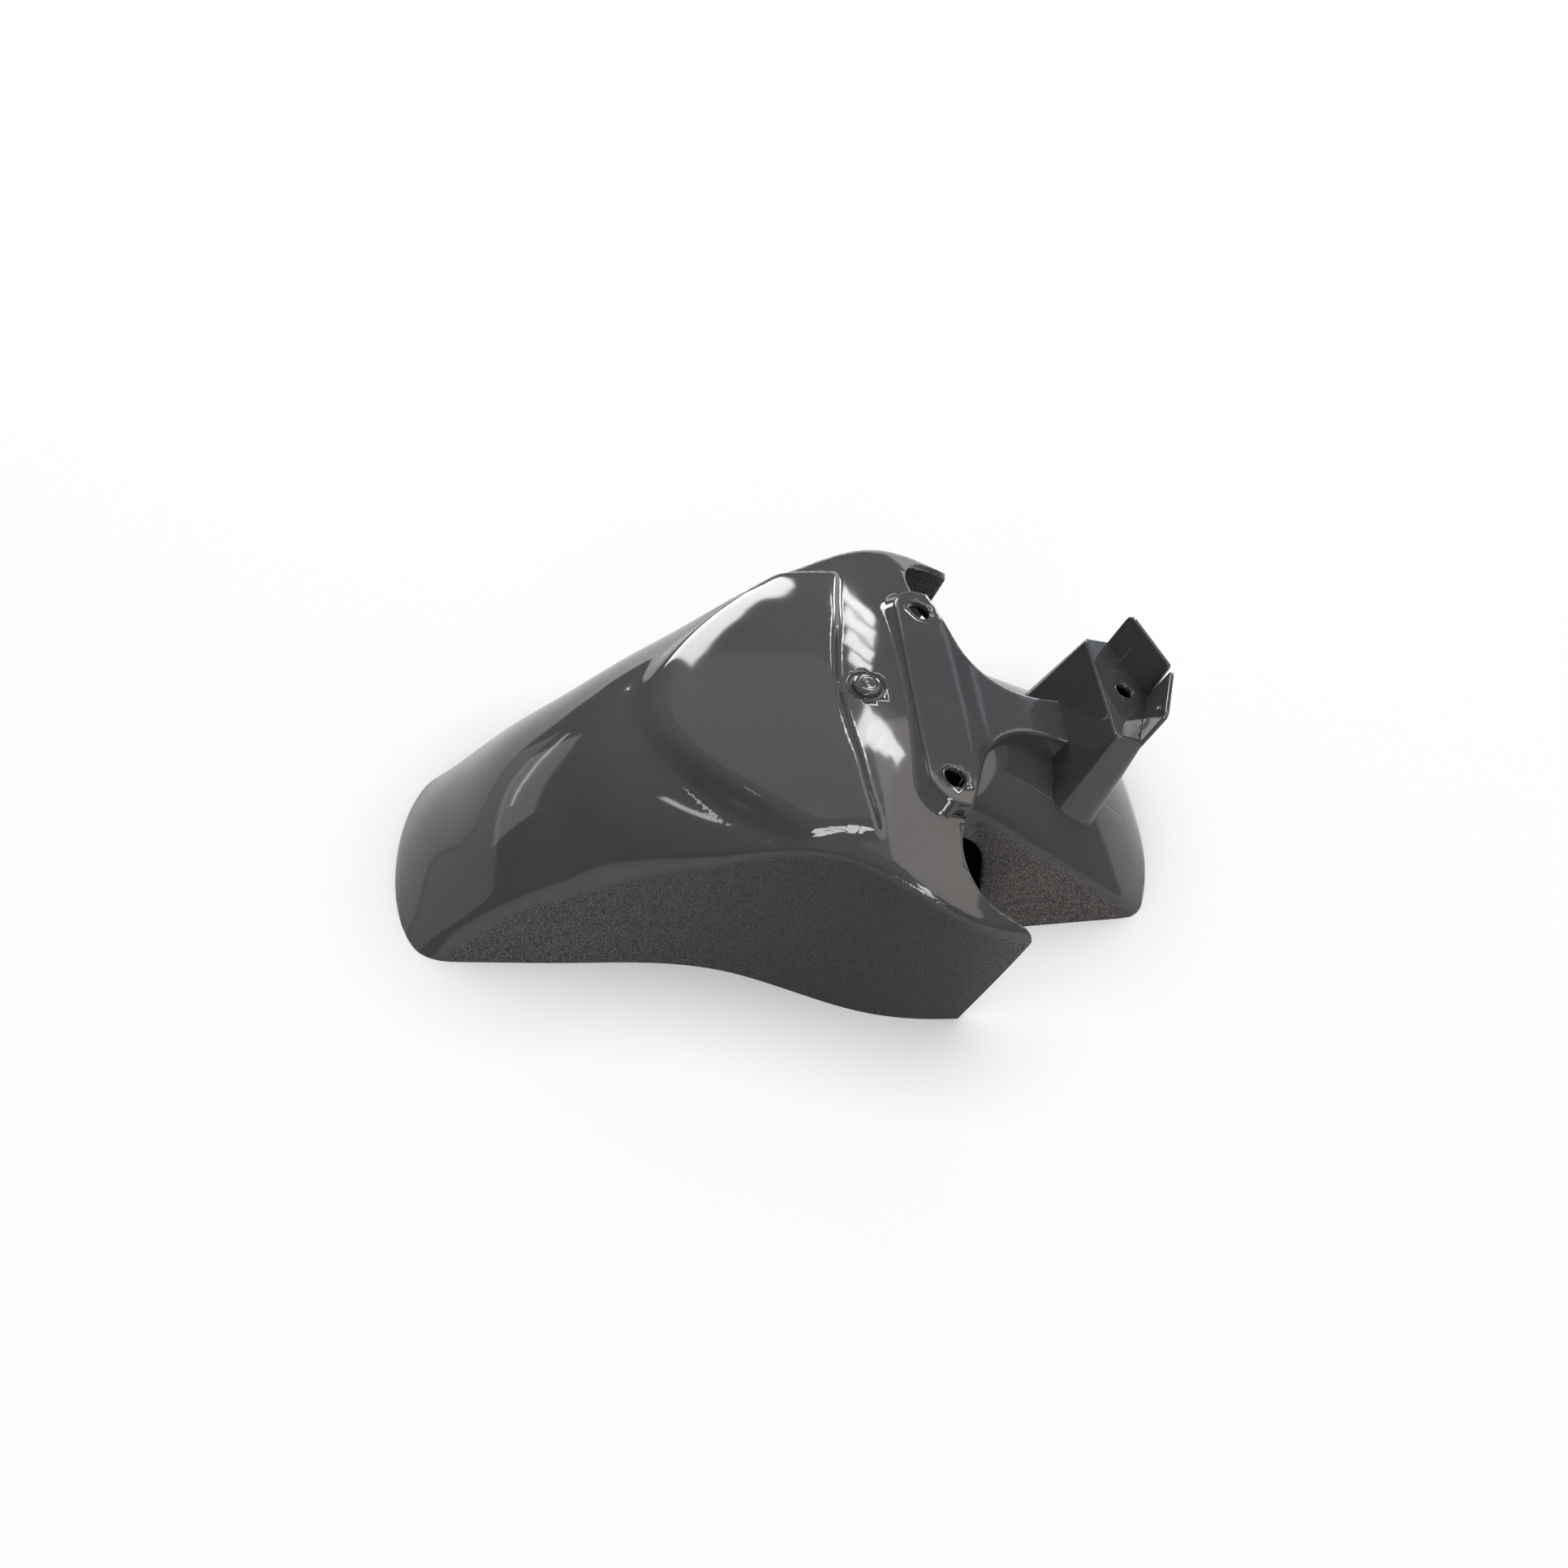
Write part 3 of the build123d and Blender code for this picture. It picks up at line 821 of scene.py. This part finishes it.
def joined(name, pieces):
    bpy.ops.object.select_all(action="DESELECT")
    for piece in pieces:
        piece.select_set(True)
    bpy.context.view_layer.objects.active = pieces[0]
    bpy.ops.object.join()
    made = pieces[0]
    made.name = name
    made.data.name = name
    return made


# Shader groups that both plastics use
def makeGrainGroup():
    # leather-like moulded grain: small rounded pads with creases between them
    group, given, result = newGroup("mouldedGrain",
                                    [("Vector", "NodeSocketVector", None),
                                     ("Cell Scale", "NodeSocketFloat", 900.0),
                                     ("Crease", "NodeSocketFloat", 0.35)],
                                    [("Height", "NodeSocketFloat"), ("Tone", "NodeSocketFloat")])
    warp = group.nodes.new("ShaderNodeTexNoise")
    warp.inputs["Scale"].default_value = 420
    warp.inputs["Detail"].default_value = 2
    group.links.new(given.outputs["Vector"], warp.inputs["Vector"])
    shift = group.nodes.new("ShaderNodeVectorMath")
    shift.operation = "MULTIPLY_ADD"
    group.links.new(warp.outputs["Color"], shift.inputs[0])
    shift.inputs[1].default_value = (0.0013, 0.0013, 0.0013)
    group.links.new(given.outputs["Vector"], shift.inputs[2])
    cells = group.nodes.new("ShaderNodeTexVoronoi")
    cells.feature = "DISTANCE_TO_EDGE"
    group.links.new(shift.outputs[0], cells.inputs["Vector"])
    group.links.new(given.outputs["Cell Scale"], cells.inputs["Scale"])
    pads = group.nodes.new("ShaderNodeMapRange")
    pads.interpolation_type = "SMOOTHSTEP"
    group.links.new(cells.outputs["Distance"], pads.inputs["Value"])
    group.links.new(given.outputs["Crease"], pads.inputs["From Max"])
    fine = noiseNode(group, given.outputs["Vector"], 2600, 3)
    height = mathNode(group, "MULTIPLY_ADD", fine, 0.25, pads.outputs["Result"])
    group.links.new(height, result.inputs["Height"])
    group.links.new(pads.outputs["Result"], result.inputs["Tone"])
    return group


def makeWearGroup():
    # what handling leaves: clouding, a little dust and thin scratches along the part
    group, given, result = newGroup("handlingMarks",
                                    [("Vector", "NodeSocketVector", None),
                                     ("Scratch Amount", "NodeSocketFloat", 0.5)],
                                    [("Clouding", "NodeSocketFloat"), ("Dust", "NodeSocketFloat"),
                                     ("Scratches", "NodeSocketFloat"), ("Waves", "NodeSocketFloat")])
    cloud = noiseNode(group, given.outputs["Vector"], 14, 5, 0.6, 0.4)
    group.links.new(rampNode(group, cloud, 0.3, 0.75), result.inputs["Clouding"])
    specks = noiseNode(group, given.outputs["Vector"], 900, 2, 0.6)
    group.links.new(rampNode(group, specks, 0.70, 0.76), result.inputs["Dust"])
    waves = noiseNode(group, given.outputs["Vector"], 28, 1, 0.4)
    group.links.new(waves, result.inputs["Waves"])
    lines = None
    for turn, seed in ((0.5, 0.0), (-0.7, 3.0), (1.3, 7.0)):
        mapping = group.nodes.new("ShaderNodeMapping")
        mapping.inputs["Rotation"].default_value = (0.2 * turn, 0.3, turn)
        mapping.inputs["Location"].default_value = (seed, seed * 0.3, 0)
        mapping.inputs["Scale"].default_value = (12, 620, 12)
        group.links.new(given.outputs["Vector"], mapping.inputs["Vector"])
        streak = noiseNode(group, mapping.outputs["Vector"], 1.0, 1, 0.5, 0.15)
        thin = rampNode(group, streak, 0.745, 0.775)
        lines = thin if lines is None else mathNode(group, "MAXIMUM", lines, thin)
    patch = rampNode(group, noiseNode(group, given.outputs["Vector"], 18, 1), 0.55, 0.68)
    marks = mathNode(group, "MULTIPLY", mathNode(group, "MULTIPLY", lines, patch),
                     given.outputs["Scratch Amount"])
    group.links.new(marks, result.inputs["Scratches"])
    return group


def placedGroup(tree, group, vector):
    node = tree.nodes.new("ShaderNodeGroup")
    node.node_tree = group
    tree.links.new(vector, node.inputs["Vector"])
    return node


def mixColour(tree, factor, first, second):
    node = tree.nodes.new("ShaderNodeMix")
    node.data_type = "RGBA"
    colours = [s for s in node.inputs if s.type == "RGBA"]
    for value, socket in ((first, colours[0]), (second, colours[1])):
        if isinstance(value, tuple):
            socket.default_value = (*value, 1)
        else:
            tree.links.new(value, socket)
    tree.links.new(factor, node.inputs[0])
    return [s for s in node.outputs if s.type == "RGBA"][0]


def newMaterial(name):
    material = bpy.data.materials.new(name)
    material.use_nodes = True
    tree = material.node_tree
    shader = tree.nodes["Principled BSDF"]
    place = tree.nodes.new("ShaderNodeTexCoord").outputs["Object"]
    return material, tree, shader, place


glossFinish = {
    "crown": ((0.036, 0.037, 0.040), (0.044, 0.044, 0.047)), "scratch": (0.30, 0.30, 0.31),
    # the crease, skirt and tail colours are painted shade and light: dark grain creases, skirts lighter at
    # the front than at the rear, and a lighter, warmer rear arch
    "crease": (0.009, 0.009, 0.009), "skirtFrontPaintedLight": (0.086, 0.086, 0.086),
    "skirtRearPaintedShade": (0.022, 0.022, 0.022), "tail": (0.098, 0.083, 0.077),
    "scratchAmount": 0.3, "cellScale": 700, "waves": 1.5, "grainDepth": 0.55,
}
undersideFinish = {
    "base": ((0.016, 0.016, 0.017), (0.030, 0.029, 0.028)), "scratch": (0.12, 0.12, 0.12),
    "scratchAmount": 0.9, "cellScale": 1500,
}


def makeGlossPlastic(grainGroup, wearGroup):
    material, tree, shader, place = newMaterial("glossPlastic")
    grain = placedGroup(tree, grainGroup, place)
    grain.inputs["Cell Scale"].default_value = glossFinish["cellScale"]
    wear = placedGroup(tree, wearGroup, place)
    wear.inputs["Scratch Amount"].default_value = glossFinish["scratchAmount"]
    mask = tree.nodes.new("ShaderNodeAttribute")
    mask.attribute_name = "grain"
    rough = mask.outputs["Fac"]

    crown = mixColour(tree, wear.outputs["Clouding"], *glossFinish["crown"])
    marked = mixColour(tree, wear.outputs["Scratches"], crown, glossFinish["scratch"])
    split = tree.nodes.new("ShaderNodeSeparateXYZ")
    tree.links.new(place, split.inputs[0])
    # painted light: behind the bays the grained sides take a lighter, warmer colour, standing in for floor
    # light and warm light on the rear arch
    behind = rampNode(tree, split.outputs["X"], 0.08, 0.12)
    # painted light and shade: the grained skirts are coloured lighter towards the front and darker towards
    # the rear
    ahead = rampNode(tree, split.outputs["X"], -0.12, 0.05)
    sides = mixColour(tree, ahead, glossFinish["skirtFrontPaintedLight"], glossFinish["skirtRearPaintedShade"])
    pads = mixColour(tree, behind, sides, glossFinish["tail"])
    # painted shade: the creases between the grain's pads are coloured near black
    grained = mixColour(tree, grain.outputs["Tone"], glossFinish["crease"], pads)
    colour = mixColour(tree, rough, marked, grained)
    tree.links.new(colour, shader.inputs["Base Color"])

    shine = mathNode(tree, "MULTIPLY_ADD", wear.outputs["Clouding"], 0.03, 0.055)
    shine = mathNode(tree, "MULTIPLY_ADD", wear.outputs["Dust"], 0.12, shine)
    shine = mathNode(tree, "MULTIPLY_ADD", wear.outputs["Scratches"], 0.35, shine)
    matte = mathNode(tree, "MULTIPLY_ADD", grain.outputs["Tone"], -0.10, 0.56)
    mixed = tree.nodes.new("ShaderNodeMix")
    tree.links.new(rough, mixed.inputs[0])
    tree.links.new(shine, mixed.inputs[2])
    tree.links.new(matte, mixed.inputs[3])
    tree.links.new(mixed.outputs[0], shader.inputs["Roughness"])

    deep = mathNode(tree, "MULTIPLY", mathNode(tree, "MULTIPLY", grain.outputs["Height"], rough),
                    glossFinish["grainDepth"])
    soft = mathNode(tree, "MULTIPLY_ADD", wear.outputs["Waves"], glossFinish["waves"], deep)
    lowered = mathNode(tree, "MULTIPLY_ADD", wear.outputs["Scratches"], -0.05, soft)
    bump = tree.nodes.new("ShaderNodeBump")
    bump.inputs["Distance"].default_value = 0.0004
    bump.inputs["Strength"].default_value = 0.6
    tree.links.new(lowered, bump.inputs["Height"])
    tree.links.new(bump.outputs["Normal"], shader.inputs["Normal"])
    shader.inputs["IOR"].default_value = 1.52
    return material


def makeUnderside(grainGroup, wearGroup):
    material, tree, shader, place = newMaterial("mouldedUnderside")
    grain = placedGroup(tree, grainGroup, place)
    grain.inputs["Cell Scale"].default_value = undersideFinish["cellScale"]
    wear = placedGroup(tree, wearGroup, place)
    wear.inputs["Scratch Amount"].default_value = undersideFinish["scratchAmount"]
    base = mixColour(tree, wear.outputs["Clouding"], *undersideFinish["base"])
    colour = mixColour(tree, wear.outputs["Scratches"], base, undersideFinish["scratch"])
    tree.links.new(colour, shader.inputs["Base Color"])
    matte = mathNode(tree, "MULTIPLY_ADD", wear.outputs["Clouding"], 0.12, 0.42)
    tree.links.new(matte, shader.inputs["Roughness"])
    bump = tree.nodes.new("ShaderNodeBump")
    bump.inputs["Distance"].default_value = 0.00005
    bump.inputs["Strength"].default_value = 0.5
    tree.links.new(grain.outputs["Height"], bump.inputs["Height"])
    tree.links.new(bump.outputs["Normal"], shader.inputs["Normal"])
    return material


# Build the shell
grainGroup = makeGrainGroup()
wearGroup = makeWearGroup()
gloss = makeGlossPlastic(grainGroup, wearGroup)
underside = makeUnderside(grainGroup, wearGroup)
pieces = [frontArch()]
print("front arch built")
pieces.append(mountBlock())
print("pad and neck built")
pieces.append(riserBlock())
pieces += platePair()
print("riser and plates built")
pieces.append(tailArch())
pieces.append(bossHead())
print("rear arch and boss built")
lipTree = makeLipTree()
pieces.append(holeLips("padHoleLips", lipTree, padSizes["origin"], 2, 2 * padSizes["boltHalf"],
                       padSizes["boltRadius"], gloss))
pieces.append(holeLips("riserHoleLip", lipTree, riserSizes["origin"], 1, 0, riserSizes["hole"], gloss))
print("hole lips built")
for piece in pieces:
    piece.data.materials.clear()
    piece.data.materials.append(gloss)
    piece.data.materials.append(underside)
shell = joined("mudguardShell", pieces)
points = np.zeros(len(shell.data.vertices) * 3, np.float32)
shell.data.vertices.foreach_get("co", points)
points[2::3] = np.maximum(points[2::3], 0)   # the wall's inner rim ends on the floor too
shell.data.vertices.foreach_set("co", points)
mask = shell.data.attributes.new("grain", "FLOAT", "POINT")
mask.data.foreach_set("value", grainAt(points.reshape(-1, 3).astype(float) * 1000).astype(np.float32))
weighted = shell.modifiers.new("normals", "WEIGHTED_NORMAL")
weighted.mode = "FACE_AREA_WITH_ANGLE"
weighted.keep_sharp = False
applied(shell)
shell.data.calc_loop_triangles()
print("shell joined:", len(shell.data.loop_triangles), "triangles")

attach(shell, "root")
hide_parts("mudguard")


# Floor, light and camera
floorSizes = {
    "reach": 3, "colour": (0.62, 0.62, 0.62), "roughness": 0.6, "shadowReach": 0.06, "glow": 0.9,
    "length": 420, "half": 150,   # of the box that the footprint is drawn in
    "footprint": ((-196, 0), (-190, 40), (-175, 54), (-110, 66), (-27, 80), (35, 106), (76, 112),
                  (90, 92), (106, 70), (132, 66), (182, 60), (192, 40), (198, 0)),
}


def paintedShadowMask(tree, place):
    # painted shadow: 0 where the part stands over the floor, 1 outside it, to darken the floor's glow
    # there
    split = tree.nodes.new("ShaderNodeSeparateXYZ")
    tree.links.new(place, split.inputs[0])
    length, half = floorSizes["length"], floorSizes["half"]
    along = mathNode(tree, "MULTIPLY_ADD", split.outputs["X"], 1000 / length, 0.5, clamp=True)
    curve = tree.nodes.new("ShaderNodeFloatCurve")
    line = curve.mapping.curves[0]
    places = [(x / length + 0.5, y / half) for x, y in floorSizes["footprint"]]
    line.points[0].location, line.points[1].location = places[0], places[-1]
    for spot in places[1:-1]:
        line.points.new(*spot)
    for point in line.points:
        point.handle_type = "VECTOR"
    curve.mapping.update()
    tree.links.new(along, curve.inputs["Value"])
    edge = mathNode(tree, "MULTIPLY", curve.outputs["Value"], half * 0.001)
    outside = mathNode(tree, "SUBTRACT", mathNode(tree, "ABSOLUTE", split.outputs["Y"]), edge)
    return rampNode(tree, outside, -0.008, 0.002)


def makeFloorPaint():
    # pale paint that shows near white to the camera, with a painted soft shadow under and round the part
    material, tree, shader, place = newMaterial("paleFloor")
    colour = floorSizes["colour"]
    speckle = noiseNode(tree, place, 40, 3)
    shade = mixColour(tree, speckle, colour, tuple(c * 0.98 for c in colour))
    tree.links.new(shade, shader.inputs["Base Color"])
    shader.inputs["Roughness"].default_value = floorSizes["roughness"]
    shader.inputs["Specular IOR Level"].default_value = 0.1
    glow = tree.nodes.new("ShaderNodeEmission")
    aoPaintedShade = tree.nodes.new("ShaderNodeAmbientOcclusion")
    aoPaintedShade.inputs["Distance"].default_value = floorSizes["shadowReach"]
    # painted shadow: the glow that the camera sees is darkened by ambient occlusion and under the part's
    # footprint
    glowWithPaintedShadow = mathNode(tree, "MULTIPLY", aoPaintedShade.outputs["AO"], paintedShadowMask(tree, place))
    tree.links.new(glowWithPaintedShadow, glow.inputs["Color"])
    path = tree.nodes.new("ShaderNodeLightPath")
    part = mathNode(tree, "MULTIPLY", path.outputs["Is Camera Ray"], floorSizes["glow"])
    mix = tree.nodes.new("ShaderNodeMixShader")
    tree.links.new(part, mix.inputs[0])
    tree.links.new(shader.outputs[0], mix.inputs[1])
    tree.links.new(glow.outputs[0], mix.inputs[2])
    tree.links.new(mix.outputs[0], tree.nodes["Material Output"].inputs["Surface"])
    return material


mesh = bpy.data.meshes.new("floor")
reach = floorSizes["reach"]
mesh.from_pydata([(-reach, -reach, 0), (reach, -reach, 0), (reach, reach, 0), (-reach, reach, 0)],
                 [], [(0, 1, 2, 3)])
floor = bpy.data.objects.new("floor", mesh)
bpy.context.scene.collection.objects.link(floor)
floor.data.materials.append(makeFloorPaint())

# the world is dim on the part, brighter overhead, and white where the camera sees it
worldGlow = {"level": 0.20, "overhead": 0.54, "fadeHeight": 0.8, "colour": (0.97, 0.98, 1.0, 1)}
world = bpy.data.worlds.new("studio")
bpy.context.scene.world = world
world.use_nodes = True
sky = world.node_tree
back = sky.nodes["Background"]
back.inputs["Color"].default_value = worldGlow["colour"]
split = sky.nodes.new("ShaderNodeSeparateXYZ")
sky.links.new(sky.nodes.new("ShaderNodeTexCoord").outputs["Generated"], split.inputs[0])
fade = rampNode(sky, split.outputs["Z"], 0.0, worldGlow["fadeHeight"])
seen = sky.nodes.new("ShaderNodeLightPath").outputs["Is Camera Ray"]
plain = mathNode(sky, "MULTIPLY_ADD", fade, worldGlow["overhead"] - worldGlow["level"],
                 worldGlow["level"])
sky.links.new(mathNode(sky, "MAXIMUM", plain, seen), back.inputs["Strength"])


boxAim = Vector((0.03, 0, 0.1))
boxDistance = 2.2


def lightFrom(name, turn, rise, wide, high, glow, colour=(1, 1, 1), twist=0):
    # a soft box seen from the part at a bearing and a height, its size and twist in degrees
    turn, rise = radians(turn), radians(rise)
    way = Vector((sin(turn) * cos(rise), cos(turn) * cos(rise), sin(rise)))
    width, height = (2 * boxDistance * tan(radians(size / 2)) for size in (wide, high))
    data = bpy.data.lights.new(name, "AREA")
    data.shape = "RECTANGLE"
    data.size, data.size_y = width, height
    data.energy = glow * width * height * pi
    data.color = colour
    made = bpy.data.objects.new(name, data)
    made.location = boxAim + way * boxDistance
    facing = (boxAim - made.location).to_track_quat("-Z", "Y").to_matrix()
    made.rotation_euler = (facing @ Matrix.Rotation(radians(twist), 3, "Z")).to_euler()
    bpy.context.scene.collection.objects.link(made)


# a window behind the part, two slatted ones to its right, and strips and panels round it
lightFrom("windowBack", -12, 23, 25, 29, 12, twist=28)
for slat in range(4):
    lightFrom("windowRightHigh%d" % slat, 24 + 1.5 * slat, 27 + 3.4 * slat, 8 - slat, 2.9, 13)
    lightFrom("windowRight%d" % slat, 35 + 3.6 * slat, 46.5 - 0.7 * slat, 2.6, 7 - slat, 13)
lightFrom("edgeStrip", 39, 9, 8, 14, 16)
lightFrom("edgeStripNear", 184, 19, 30, 9, 11, twist=41)
lightFrom("edgeStripNearHigh", 163, 43, 24, 9, 11, twist=48)
lightFrom("skyFlat", 8, 60, 50, 34, 0.35, (0.94, 0.96, 1.0))
lightFrom("skyBlue", 47, 16, 9, 7, 0.65, (0.72, 0.84, 1.0))
lightFrom("panelNose", -70, 13, 34, 13, 1.1)
lightFrom("panelNoseLow", -75, 3, 60, 10, 0.5)
lightFrom("panelNoseLine", -62, 12, 26, 0.7, 7)
lightFrom("panelWing", 92, 44, 74, 36, 1.7, (1.0, 0.90, 0.80))
lightFrom("stripNear", -115, 44, 5, 2.5, 7)

bpy.context.scene.view_settings.view_transform = "Standard"
cameraSizes = {"sensor": 36, "lens": 31.68, "turn": 5.065, "fall": 52.209, "roll": 0.4248,
               "aim": (0.00841, 0, 0.04477), "distance": 0.71949}
lens = bpy.data.cameras.new("camera")
lens.sensor_width = cameraSizes["sensor"]
lens.lens = cameraSizes["lens"]
camera = bpy.data.objects.new("camera", lens)
turn, fall, roll = (radians(cameraSizes[key]) for key in ("turn", "fall", "roll"))
look = Vector((sin(turn) * cos(fall), cos(turn) * cos(fall), -sin(fall)))
right = Vector((cos(turn), -sin(turn), 0))
down = look.cross(right)
across = right * cos(roll) + down * sin(roll)
below = -right * sin(roll) + down * cos(roll)
spot = Vector(cameraSizes["aim"]) - look * cameraSizes["distance"]
axes = Matrix((across, -below, -look)).transposed().to_4x4()
camera.matrix_world = Matrix.Translation(spot) @ axes
bpy.context.scene.collection.objects.link(camera)
bpy.context.scene.camera = camera

print("scene ready")
